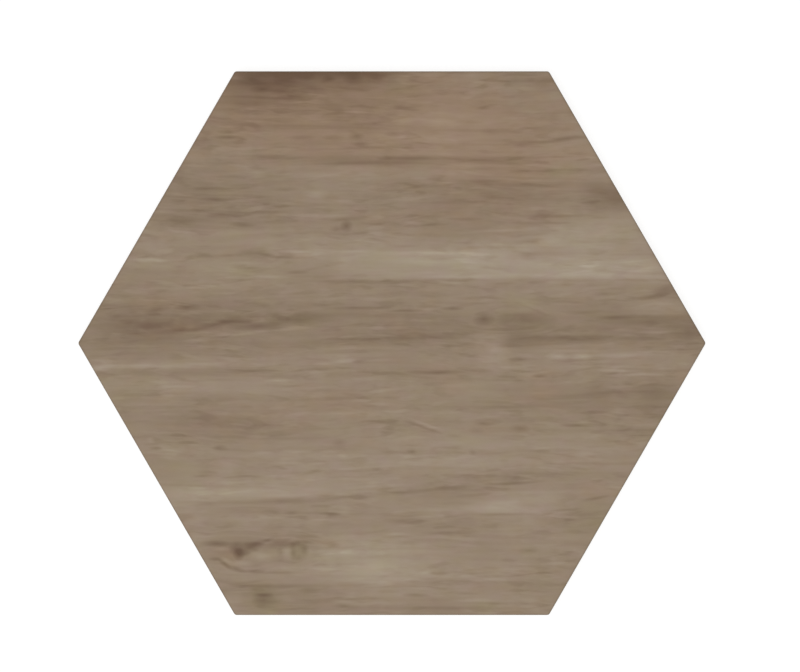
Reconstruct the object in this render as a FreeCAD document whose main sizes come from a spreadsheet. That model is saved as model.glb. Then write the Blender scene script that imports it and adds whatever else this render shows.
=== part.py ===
# Hexagonal porcelain floor tile, pressed and fired as one piece.
#
# The tile lies on its keyed back with its face up: +Z is up and z = 0 is the plane of the key's rib tops.
# The origin is the middle of the back. Two opposite corners lie on the X axis and two opposite sides face
# along Y. All lengths are in millimetres and all angles in degrees.

import FreeCAD, Part
import Sketcher

import enum
import math
import os

# The driving sizes: alias, value and what it measures.
SIZES = (
    ("flat_to_flat", 240.0, "width of the tile between two opposite sides"),
    ("thickness", 9.5, "from the key's rib tops to the face"),
    ("core_radius", 0.2, "round that the corners keep inside the arris and the drawn-in back"),
    ("face_arris", 1.0, "radius of the pressed edge round the face"),
    ("land_height", 4.5, "upright band of the side, from the face down"),
    ("skirt_setback", 0.9, "how far the side draws in from the land to the back"),
    ("back_arris", 0.4, "bevel round the back"),
    ("rim_width", 4.0, "plain rim between the bevel and the outermost key cells"),
    ("rib_width", 3.0, "width of the ribs between the cells' mouths"),
    ("cell_rings", 6, "rings of key cells round the middle one"),
    ("key_depth", 0.6, "depth of the key cells"),
    ("cell_draft", 40.0, "slope of the cells' walls from upright"),
)

SIDES = 6
HALF_SECTOR = math.radians(180.0 / SIDES)
PARTS_FOLDER = "parts"
TOLERANCE = 1e-6
X_AXIS = -1

# A hexagon's reach to a side, as a share of its reach to a corner.
FLAT_SHARE = f"cos(180 deg / {SIDES})"

# Reach is from the middle to a corner. The corners stay rounder than either edge treatment takes off.
TILE_REACH = f"Sizes.flat_to_flat / 2 / {FLAT_SHARE}"
CORNER_RADIUS = "Sizes.core_radius + max(Sizes.face_arris; Sizes.skirt_setback + Sizes.back_arris)"

# The cells' rings fill the flat of the back up to the rim. Their rows lie a flat share of the pitch apart.
KEY_ROOM = "(Sizes.flat_to_flat / 2 - Sizes.skirt_setback - Sizes.back_arris - Sizes.rim_width)"
CELL_RINGS = "trunc(Sizes.cell_rings)"
CELL_PITCH = (
    f"(({KEY_ROOM} + Sizes.rib_width / 2 / {FLAT_SHARE})"
    f" / ({CELL_RINGS} * {FLAT_SHARE} + 1 / 2 / {FLAT_SHARE}))"
)
CELL_REACH = f"({CELL_PITCH} - Sizes.rib_width) / 2 / {FLAT_SHARE}"


class Spot(enum.IntEnum):
    """A sketch's numbers for the points of its geometry. The X axis starts at the sketch's origin."""

    START = 1
    END = 2
    CENTRE = 3


def make_sheet(doc):
    """Writes the driving sizes into a spreadsheet, one row each, and gives every value its alias."""
    sheet = doc.addObject("Spreadsheet::Sheet", "Sizes")
    for row, (alias, value, meaning) in enumerate(SIZES, start=1):
        sheet.set(f"A{row}", meaning)
        sheet.set(f"B{row}", str(value))
        sheet.setAlias(f"B{row}", alias)
    doc.recompute()
    return sheet


def value_of(sheet, expression):
    """Works out an expression on the sheet's sizes as a plain number."""
    return float(sheet.evalExpression(expression))


def ground_plane(body):
    """Finds a body's own XY plane."""
    return next(plane for plane in body.Origin.OriginFeatures if plane.Role == "XY_Plane")


def draw_hexagon(body, name, reach):
    """Sketches a regular hexagon with two corners on the X axis, from an expression for its reach."""
    sketch = body.newObject("Sketcher::SketchObject", name)
    sketch.AttachmentSupport = (ground_plane(body), [""])
    sketch.MapMode = "FlatFace"

    first_reach = value_of(body.Document.Sizes, reach)
    corners = [
        FreeCAD.Vector(
            first_reach * math.cos(2.0 * HALF_SECTOR * index),
            first_reach * math.sin(2.0 * HALF_SECTOR * index),
            0.0,
        )
        for index in range(SIDES)
    ]
    for index in range(SIDES):
        side = Part.LineSegment(corners[index], corners[(index + 1) % SIDES])
        sketch.addGeometry(side, False)
    circle = sketch.addGeometry(
        Part.Circle(FreeCAD.Vector(), FreeCAD.Vector(0, 0, 1), first_reach), True
    )

    for index in range(SIDES):
        following = (index + 1) % SIDES
        join = Sketcher.Constraint("Coincident", index, Spot.END, following, Spot.START)
        sketch.addConstraint(join)
        sketch.addConstraint(Sketcher.Constraint("PointOnObject", index, Spot.START, circle))
    for index in range(1, SIDES):
        sketch.addConstraint(Sketcher.Constraint("Equal", 0, index))
    centred = Sketcher.Constraint("Coincident", circle, Spot.CENTRE, X_AXIS, Spot.START)
    sketch.addConstraint(centred)
    sketch.addConstraint(Sketcher.Constraint("PointOnObject", 0, Spot.START, X_AXIS))
    radius = sketch.addConstraint(Sketcher.Constraint("Radius", circle, first_reach))
    sketch.renameConstraint(radius, "corner_reach")
    sketch.setExpression("Constraints.corner_reach", reach)
    return sketch


def edges_where(feature, wanted):
    """Names the edges of a feature's shape that pass the test."""
    edges = feature.Shape.Edges
    return [f"Edge{number}" for number, edge in enumerate(edges, start=1) if wanted(edge)]


def is_upright(edge):
    """True for an edge that runs along Z."""
    first, last = edge.firstVertex(), edge.lastVertex()
    return math.hypot(first.X - last.X, first.Y - last.Y) < TOLERANCE


def lies_at(height):
    """Makes a test for edges that lie all over at one height."""

    def test(edge):
        box = edge.BoundBox
        return abs(box.ZMin - height) < TOLERANCE and abs(box.ZMax - height) < TOLERANCE

    return test


def pad_hexagon(body, name, reach, height_alias):
    """Pads a hexagon of that reach by one of the sheet's heights, up from z = 0."""
    pad = body.newObject("PartDesign::Pad", name)
    pad.Profile = draw_hexagon(body, f"{name}Outline", reach)
    pad.setExpression("Length", f"Sizes.{height_alias}")
    body.Document.recompute()
    return pad


def make_blank(doc):
    """Builds the pressed blank: the hexagonal slab with its rounded corners, drawn-in skirt and arrises."""
    sheet = doc.Sizes
    body = doc.addObject("PartDesign::Body", "Blank")
    slab = pad_hexagon(body, "Slab", TILE_REACH, "thickness")

    corners = body.newObject("PartDesign::Fillet", "Corners")
    corners.Base = (slab, edges_where(slab, is_upright))
    corners.setExpression("Radius", CORNER_RADIUS)
    doc.recompute()

    # The punch's draft: below the land the side leans in towards the back.
    skirt = body.newObject("PartDesign::Chamfer", "Skirt")
    skirt.Base = (corners, edges_where(corners, lies_at(0.0)))
    skirt.ChamferType = "Two distances"
    skirt.setExpression("Size", "Sizes.skirt_setback")
    skirt.setExpression("Size2", "Sizes.thickness - Sizes.land_height")
    doc.recompute()
    if not edges_where(skirt, lies_at(sheet.thickness - sheet.land_height)):
        skirt.FlipDirection = True
        doc.recompute()

    back_edge = body.newObject("PartDesign::Chamfer", "BackArris")
    back_edge.Base = (skirt, edges_where(skirt, lies_at(0.0)))
    back_edge.setExpression("Size", "Sizes.back_arris")
    doc.recompute()

    face_edge = body.newObject("PartDesign::Fillet", "FaceArris")
    face_edge.Base = (back_edge, edges_where(back_edge, lies_at(sheet.thickness)))
    face_edge.setExpression("Radius", "Sizes.face_arris")
    doc.recompute()
    body.Tip = face_edge
    return body


def make_cell(doc):
    """Builds the hollow of one key cell: its mouth is at z = 0 and its walls draw in towards its floor."""
    body = doc.addObject("PartDesign::Body", "Cell")
    hollow = pad_hexagon(body, "Hollow", CELL_REACH, "key_depth")
    walls = [
        f"Face{number}"
        for number, face in enumerate(hollow.Shape.Faces, start=1)
        if abs(face.normalAt(0, 0).z) < TOLERANCE
    ]
    draft = body.newObject("PartDesign::Draft", "WallDraft")
    draft.Base = (hollow, walls)
    draft.NeutralPlane = (ground_plane(body), [""])
    draft.setExpression("Angle", "Sizes.cell_draft")
    body.Tip = draft
    # Turned by half a sector, so that the cells stand side by side along the rows.
    turned = FreeCAD.Rotation(FreeCAD.Vector(0, 0, 1), math.degrees(HALF_SECTOR))
    body.Placement = FreeCAD.Placement(FreeCAD.Vector(), turned)
    doc.recompute()
    if draft.Shape.Volume >= hollow.Shape.Volume:
        raise RuntimeError("the cell's walls lean out instead of in")
    return body


def cell_centres(rings, pitch):
    """Lists the middles of the cells: a hexagon of that many rings, whose corners point along X."""
    row_step = pitch * math.cos(HALF_SECTOR)
    centres = []
    for row in range(-rings, rings + 1):
        cells_in_row = 2 * rings + 1 - abs(row)
        row_start = -(cells_in_row - 1) / 2.0 * pitch
        for place in range(cells_in_row):
            centres.append(FreeCAD.Vector(row_start + place * pitch, row * row_step, 0.0))
    return centres


def make_key(doc, cell):
    """Lays copies of the cell out as a honeycomb."""
    rings = int(value_of(doc.Sizes, CELL_RINGS))
    pitch = value_of(doc.Sizes, CELL_PITCH)
    copies = []
    for centre in cell_centres(rings, pitch):
        hollow = cell.Shape.copy()
        hollow.translate(centre)
        copies.append(hollow)
    key = doc.addObject("Part::Feature", "Key")
    key.Shape = Part.makeCompound(copies)
    key.Placement = FreeCAD.Placement()
    return key


def check_document(doc):
    """Stops the build if any object of the document failed."""
    for made in doc.Objects:
        if "Invalid" in made.State or "Error" in made.State:
            raise RuntimeError(f"{made.Label} failed: {made.State}")


def write_part(piece):
    """Checks one finished piece and writes it as a STEP file named by its label."""
    shape = piece.Shape
    if shape.isNull() or not shape.isValid() or len(shape.Solids) != 1:
        raise RuntimeError(f"{piece.Label} isn't one valid solid")
    os.makedirs(PARTS_FOLDER, exist_ok=True)
    shape.exportStep(os.path.join(PARTS_FOLDER, f"{piece.Label}.step"))
    box = shape.BoundBox
    print(
        f"{piece.Label}: {box.XLength:.3f} x {box.YLength:.3f} x {box.ZLength:.3f} mm, "
        f"{shape.Volume:.1f} mm3, {len(shape.Faces)} faces"
    )


def main():
    """Builds the tile and writes it."""
    doc = FreeCAD.newDocument("HexagonTile")
    make_sheet(doc)
    blank = make_blank(doc)
    key = make_key(doc, make_cell(doc))

    tile = doc.addObject("Part::Cut", "Tile")
    tile.Base = blank
    tile.Tool = key
    tile.Label = "tile"
    tile.Placement = FreeCAD.Placement()
    doc.recompute()

    check_document(doc)
    write_part(tile)


main()
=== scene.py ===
"""Looks of the hexagonal floor tile: a matt wood print on a pressed porcelain body, keyed at the back."""

import enum
import logging
import math
from collections.abc import Callable, Iterable, Mapping, Sequence
from dataclasses import dataclass, field
from typing import Any

import bpy
import numpy as np
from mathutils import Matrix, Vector, noise
from mathutils.geometry import delaunay_2d_cdt


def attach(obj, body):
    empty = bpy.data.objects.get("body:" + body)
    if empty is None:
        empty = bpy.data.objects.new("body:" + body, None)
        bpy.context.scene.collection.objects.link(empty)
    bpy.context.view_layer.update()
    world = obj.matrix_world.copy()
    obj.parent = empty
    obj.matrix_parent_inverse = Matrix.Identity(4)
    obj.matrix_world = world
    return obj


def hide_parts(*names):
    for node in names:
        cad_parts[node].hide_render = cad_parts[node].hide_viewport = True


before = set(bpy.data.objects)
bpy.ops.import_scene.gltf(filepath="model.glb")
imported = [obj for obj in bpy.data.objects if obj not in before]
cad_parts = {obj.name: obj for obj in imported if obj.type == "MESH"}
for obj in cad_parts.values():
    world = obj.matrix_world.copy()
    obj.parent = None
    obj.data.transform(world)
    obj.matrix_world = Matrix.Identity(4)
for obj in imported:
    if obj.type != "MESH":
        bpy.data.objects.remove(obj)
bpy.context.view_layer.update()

log = logging.getLogger("tile")

NODE = "tile"
BODY = "root"
BAKE_MAP = "OFBake"

SIDES = 6
SECTOR = math.tau / SIDES
FLAT_SHARE = math.cos(SECTOR / 2.0)
MM = 0.001
PERCENT = 0.01
TOLERANCE = 1e-6

# How far noise is shifted along each axis from one seed to the next, in flecks.
SEED_SHIFT = (17.3, 9.1, 5.7)

# How far a printed mark's ink bleeds across the grain, in dots.
BLEED = 0.7

# The print's places are counted in dots from the tile's middle, 544 of them between opposite sides.
DOTS_PER_METRE = 544.0 / 0.240

Numbers = tuple[float, ...]


def linear(red: float, green: float, blue: float) -> Numbers:
    """Turns display levels into linear light.

    Args:
        red: Level from 0 to 255.
        green: Level from 0 to 255.
        blue: Level from 0 to 255.

    Returns:
        The colour with an alpha of 1, as a shader socket takes it.
    """
    shares = [level / 255.0 for level in (red, green, blue)]
    light = [
        share / 12.92 if share <= 0.04045 else ((share + 0.055) / 1.055) ** 2.4
        for share in shares
    ]
    return (*light, 1.0)


@dataclass(frozen=True)
class Wire:
    """One shader value. Python's operators on it each add a Math node."""

    graph: "Graph"
    socket: bpy.types.NodeSocket

    def __add__(self, other: "Wire | float") -> "Wire":
        """Adds."""
        return self.graph.math("ADD", self, other)

    def __radd__(self, other: float) -> "Wire":
        """Adds to a number."""
        return self.graph.math("ADD", other, self)

    def __sub__(self, other: "Wire | float") -> "Wire":
        """Subtracts."""
        return self.graph.math("SUBTRACT", self, other)

    def __rsub__(self, other: float) -> "Wire":
        """Subtracts from a number."""
        return self.graph.math("SUBTRACT", other, self)

    def __mul__(self, other: "Wire | float") -> "Wire":
        """Multiplies."""
        return self.graph.math("MULTIPLY", self, other)

    def __rmul__(self, other: float) -> "Wire":
        """Multiplies a number."""
        return self.graph.math("MULTIPLY", other, self)

    def __neg__(self) -> "Wire":
        """Turns the sign round."""
        return self.graph.math("MULTIPLY", self, -1.0)


@dataclass(frozen=True)
class Graph:
    """A node tree that a material or the world is drawn in."""

    tree: bpy.types.NodeTree

    def node(
        self,
        kind: str,
        settings: Mapping[str, Any] | None = None,
        inputs: Mapping[str, Any] | None = None,
    ) -> bpy.types.Node:
        """Adds a node.

        Args:
            kind: The node's type.
            settings: Its properties, which are set first.
            inputs: Values or wires, by the sockets' identifiers.

        Returns:
            The new node.
        """
        made = self.tree.nodes.new(kind)
        for name, value in (settings or {}).items():
            setattr(made, name, value)
        sockets = {socket.identifier: socket for socket in made.inputs}
        for name, value in (inputs or {}).items():
            if isinstance(value, Wire):
                self.tree.links.new(value.socket, sockets[name])
            else:
                sockets[name].default_value = value
        return made

    def wire(
        self,
        kind: str,
        settings: Mapping[str, Any] | None = None,
        inputs: Mapping[str, Any] | None = None,
        output: str | None = None,
    ) -> Wire:
        """Adds a node for the sake of one of its outputs.

        Args:
            kind: The node's type.
            settings: Its properties, which are set first.
            inputs: Values or wires, by the sockets' identifiers.
            output: The output's identifier, or none for the first output.

        Returns:
            That output.
        """
        outputs = self.node(kind, settings, inputs).outputs
        found = {socket.identifier: socket for socket in outputs}
        return Wire(self, found[output] if output else outputs[0])

    def math(self, operation: str, *terms: Wire | float) -> Wire:
        """Adds a Math node.

        Args:
            operation: What it works out.
            terms: Its wires or numbers, in order.

        Returns:
            The result.
        """
        names = ("Value", "Value_001", "Value_002")
        return self.wire("ShaderNodeMath", {"operation": operation}, dict(zip(names, terms)))

    def scaled(self, place: Wire, factors: Numbers, shift: Numbers = (0.0, 0.0, 0.0)) -> Wire:
        """Stretches a place and then shifts it.

        Args:
            place: The vector.
            factors: A factor along each axis.
            shift: What is added along each axis.

        Returns:
            The new vector.
        """
        inputs = {"Vector": place, "Scale": factors, "Location": shift}
        return self.wire("ShaderNodeMapping", {"vector_type": "POINT"}, inputs)

    def eased(self, value: Wire, low: float, high: float) -> Wire:
        """Eases from 0 to 1 while a value runs between two numbers.

        Args:
            value: The running value.
            low: Where the result is still 0.
            high: Where it is 1.

        Returns:
            The eased result.
        """
        settings = {"interpolation_type": "SMOOTHSTEP", "clamp": False}
        inputs = {"Value": value, "From Min": low, "From Max": high}
        return self.wire("ShaderNodeMapRange", settings, inputs)

    def mixed(self, share: Wire | float, first: Any, second: Any, way: str = "MIX") -> Wire:
        """Mixes two colours.

        Args:
            share: How much of the second comes in.
            first: A colour or a wire.
            second: A colour or a wire.
            way: The way of mixing.

        Returns:
            The mixed colour.
        """
        settings = {"data_type": "RGBA", "blend_type": way}
        inputs = {"Factor_Float": share, "A_Color": first, "B_Color": second}
        return self.wire("ShaderNodeMix", settings, inputs, "Result_Color")

    def ramp(self, value: Wire, stops: Sequence[tuple[float, Numbers]]) -> Wire:
        """Colours a value.

        Args:
            value: The value from 0 to 1.
            stops: Places on the ramp and their colours.

        Returns:
            The colour.
        """
        made = self.node("ShaderNodeValToRGB", None, {"Fac": value})
        elements = made.color_ramp.elements
        while len(elements) < len(stops):
            elements.new(1.0)
        for element, (place, colour) in zip(elements, stops):
            element.position = place
            element.color = colour
        return Wire(self, made.outputs["Color"])

    def flecks(self, place: Wire, grain: Numbers, seed: float, detail: float, flat: bool) -> Wire:
        """Reads noise that swings evenly round zero, mostly within -0.6 to 0.6.

        Args:
            place: Where it is read.
            grain: Size of a fleck along each axis, in the place's own units.
            seed: Which noise.
            detail: Finer octaves on top of the first.
            flat: Whether the noise ignores the third axis.

        Returns:
            The noise.
        """
        factors = tuple(1.0 / size for size in grain)
        shift = tuple(seed * step for step in SEED_SHIFT)
        inputs = {"Vector": self.scaled(place, factors, shift), "Scale": 1.0, "Detail": detail}
        settings = {"noise_dimensions": "2D" if flat else "3D"}
        return self.wire("ShaderNodeTexNoise", settings, inputs) * 2.0 - 1.0


@dataclass(frozen=True)
class Mark:
    """One stroke or patch of the print, strongest in its middle.

    Places and half sizes are in dots from the tile's middle. The tone is in display levels, and the rise
    is how many dots the stroke climbs for each dot to the right.
    """

    x: float
    y: float
    along: float
    across: float
    tone: float
    rise: float = 0.0

    def fall(self, graph: Graph, place: Wire) -> Wire:
        """Makes a cone that is 1 in the mark's middle and 0 from its rim on.

        Args:
            graph: Where the nodes go.
            place: The place on the print, in dots.

        Returns:
            The cone's height.
        """
        cone = graph.node("ShaderNodeTexGradient", {"gradient_type": "SPHERICAL"}, {"Vector": place})
        fit = cone.texture_mapping
        fit.vector_type = "TEXTURE"
        fit.translation = (self.x, self.y, 0.0)
        fit.rotation = (0.0, 0.0, math.atan(self.rise))
        fit.scale = (self.along, self.across + BLEED, 1.0)
        return Wire(graph, cone.outputs["Fac"])


def drawn(graph: Graph, place: Wire, marks: Iterable[Mark], total: Wire | float, ink: float) -> Wire:
    """Adds up marks.

    Args:
        graph: Where the nodes go.
        place: The place on the print, in dots.
        marks: The marks.
        total: What they are added to.
        ink: How much stronger a mark's middle is than its tone.

    Returns:
        The sum of their tones.
    """
    for mark in marks:
        total = graph.math("MULTIPLY_ADD", mark.fall(graph, place), mark.tone * ink, total)
    return total


# The wide light and dark parts of the boards, from the top of the tile down.
CLOUDS = (
    Mark(-110, 276, 150, 30, -24),
    Mark(-115, 262, 60, 22, -12),
    Mark(-35, 272, 50, 20, -18),
    Mark(-90, 240, 170, 40, -6),
    Mark(-110, 225, 200, 60, -4),
    Mark(-100, 238, 90, 12, -4),
    Mark(-195, 204, 30, 14, -5),
    Mark(50, 214, 70, 34, 6),
    Mark(25, 262, 60, 16, -4),
    Mark(140, 264, 60, 14, -8),
    Mark(-150, 244, 44, 16, -8),
    Mark(-90, 222, 60, 16, 5),
    Mark(180, 196, 60, 40, 4),
    Mark(-30, 172, 150, 14, 4),
    Mark(-70, 160, 60, 22, 4),
    Mark(-205, 158, 70, 28, -8),
    Mark(-120, 162, 90, 26, -4),
    Mark(-190, 148, 50, 12, -4),
    Mark(-185, 128, 110, 20, -7),
    Mark(-212, 122, 40, 14, -6),
    Mark(100, 152, 130, 18, -6),
    Mark(150, 165, 90, 26, -2),
    Mark(90, 128, 160, 14, -5),
    Mark(222, 147, 44, 20, -11),
    Mark(-200, 103, 150, 13, 5),
    Mark(-40, 102, 130, 16, 4),
    Mark(-250, 88, 50, 16, 5),
    Mark(-165, 74, 70, 20, 5),
    Mark(150, 104, 120, 14, 8, 0.12),
    Mark(215, 108, 110, 26, 9),
    Mark(-60, 92, 120, 12, 4),
    Mark(60, 88, 200, 14, 6),
    Mark(40, 80, 130, 26, 10),
    Mark(-25, 70, 50, 12, 7),
    Mark(210, 98, 60, 12, 4),
    Mark(150, 77, 180, 24, 12),
    Mark(195, 76, 70, 18, 7),
    Mark(232, 74, 70, 18, 6),
    Mark(180, 54, 110, 16, 4),
    Mark(205, 40, 60, 20, -4),
    Mark(268, 35, 44, 11, 12),
    Mark(-180, 44, 70, 20, -4),
    Mark(264, 74, 50, 16, 7),
    Mark(282, 50, 40, 10, -8),
    Mark(215, 21, 50, 14, -5),
    Mark(0, 8, 110, 12, -5),
    Mark(-250, 28, 90, 30, -8),
    Mark(-150, 36, 70, 20, -5),
    Mark(-170, 4, 190, 14, -5),
    Mark(-235, 17, 110, 20, -8),
    Mark(-110, 24, 130, 16, -8, 0.05),
    Mark(20, 20, 150, 30, -6),
    Mark(130, 22, 50, 12, -8),
    Mark(102, -2, 20, 34, 8),
    Mark(170, 6, 110, 14, -8),
    Mark(270, 16, 90, 24, -9),
    Mark(300, 8, 34, 26, -8),
    Mark(-230, -8, 150, 14, -5),
    Mark(200, -13, 120, 12, 3),
    Mark(-262, -2, 60, 22, -4),
    Mark(-190, -22, 200, 10, 3),
    Mark(-200, -45, 120, 14, 5),
    Mark(-110, -42, 90, 12, 3),
    Mark(20, -28, 90, 18, -4),
    Mark(200, -30, 100, 12, 3),
    Mark(-190, -76, 110, 30, -10),
    Mark(-252, -84, 44, 26, 5),
    Mark(-90, -72, 80, 20, 2),
    Mark(40, -60, 120, 30, 1),
    Mark(130, -70, 60, 40, -3),
    Mark(205, -55, 60, 22, -8),
    Mark(266, -54, 42, 28, -11),
    Mark(232, -84, 90, 14, -4),
    Mark(100, -100, 160, 22, 6),
    Mark(200, -112, 80, 26, 5),
    Mark(-150, -116, 150, 22, 3),
    Mark(-190, -149, 120, 15, 9),
    Mark(-70, -147, 160, 14, 8, 0.04),
    Mark(0, -122, 200, 18, 5),
    Mark(90, -122, 120, 12, 5),
    Mark(120, -132, 130, 10, -4, 0.06),
    Mark(-100, -172, 120, 14, 2),
    Mark(60, -158, 120, 12, 3, 0.06),
    Mark(60, -171, 80, 8, 4),
    Mark(50, -151, 80, 10, -4),
    Mark(215, -134, 40, 10, -4),
    Mark(115, -162, 70, 16, 8, 0.08),
    Mark(190, -180, 50, 26, -5),
    Mark(-205, -162, 50, 22, 7),
    Mark(-80, -136, 90, 12, 5),
    Mark(150, -170, 70, 30, 4),
    Mark(-160, -204, 44, 14, -10),
    Mark(-100, -205, 30, 14, -6),
    Mark(-42, -214, 80, 28, 8),
    Mark(-30, -196, 60, 8, 4),
    Mark(-15, -218, 70, 38, 11),
    Mark(40, -212, 60, 34, 5),
    Mark(-100, -243, 120, 10, -5),
    Mark(40, -234, 170, 20, 5),
    Mark(130, -218, 70, 20, 3),
    Mark(110, -257, 70, 14, 5),
    Mark(-95, -232, 50, 16, 6),
    Mark(130, -243, 90, 12, -4),
    Mark(-128, -257, 26, 18, -10),
    Mark(-80, -258, 60, 14, -5),
    Mark(60, -268, 200, 8, -3),
)

# The reddish heartwood, the strength of each patch in percent.
REDDISH = (
    Mark(-90, 232, 230, 70, 95),
    Mark(70, 216, 200, 70, 85),
    Mark(120, 172, 110, 50, 55),
    Mark(60, 128, 140, 26, 35),
    Mark(-235, 40, 60, 14, 45),
    Mark(-210, 14, 60, 14, 40),
    Mark(5, 18, 22, 26, 40),
    Mark(-150, -78, 70, 26, 30),
    Mark(-60, -62, 80, 22, 45),
    Mark(55, -35, 40, 20, 45),
    Mark(155, -48, 40, 34, 35),
    Mark(290, -32, 50, 20, 30),
    Mark(200, -142, 40, 20, 35),
    Mark(-165, -212, 24, 14, 60),
    Mark(-245, -150, 30, 12, 20),
)

# The olive and grey sapwood, the strength of each patch in percent.
OLIVE = (
    Mark(-150, 74, 80, 26, 50),
    Mark(-20, 80, 60, 26, 40),
    Mark(45, 82, 60, 18, 40),
    Mark(-240, 65, 50, 26, 30),
    Mark(215, 105, 70, 20, 50),
    Mark(-150, 107, 70, 10, 40),
    Mark(130, 24, 48, 12, 55),
    Mark(130, 40, 40, 14, 45),
    Mark(-92, 24, 46, 12, 50),
    Mark(-262, -42, 40, 22, 80),
    Mark(70, -52, 110, 26, 30),
    Mark(190, -88, 110, 20, 35),
    Mark(20, -90, 120, 40, 25),
    Mark(-210, -118, 50, 40, 40),
    Mark(-30, -212, 110, 36, 40),
    Mark(202, -178, 34, 26, 60),
    Mark(-128, -258, 24, 20, 150),
    Mark(-188, -149, 70, 14, 45),
    Mark(93, -262, 20, 8, 90),
    Mark(130, -242, 40, 12, 60),
    Mark(136, -208, 18, 12, 60),
    Mark(-95, -208, 14, 13, 80),
    Mark(15, 254, 26, 10, 60),
    Mark(165, 172, 40, 16, 60),
)

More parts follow.
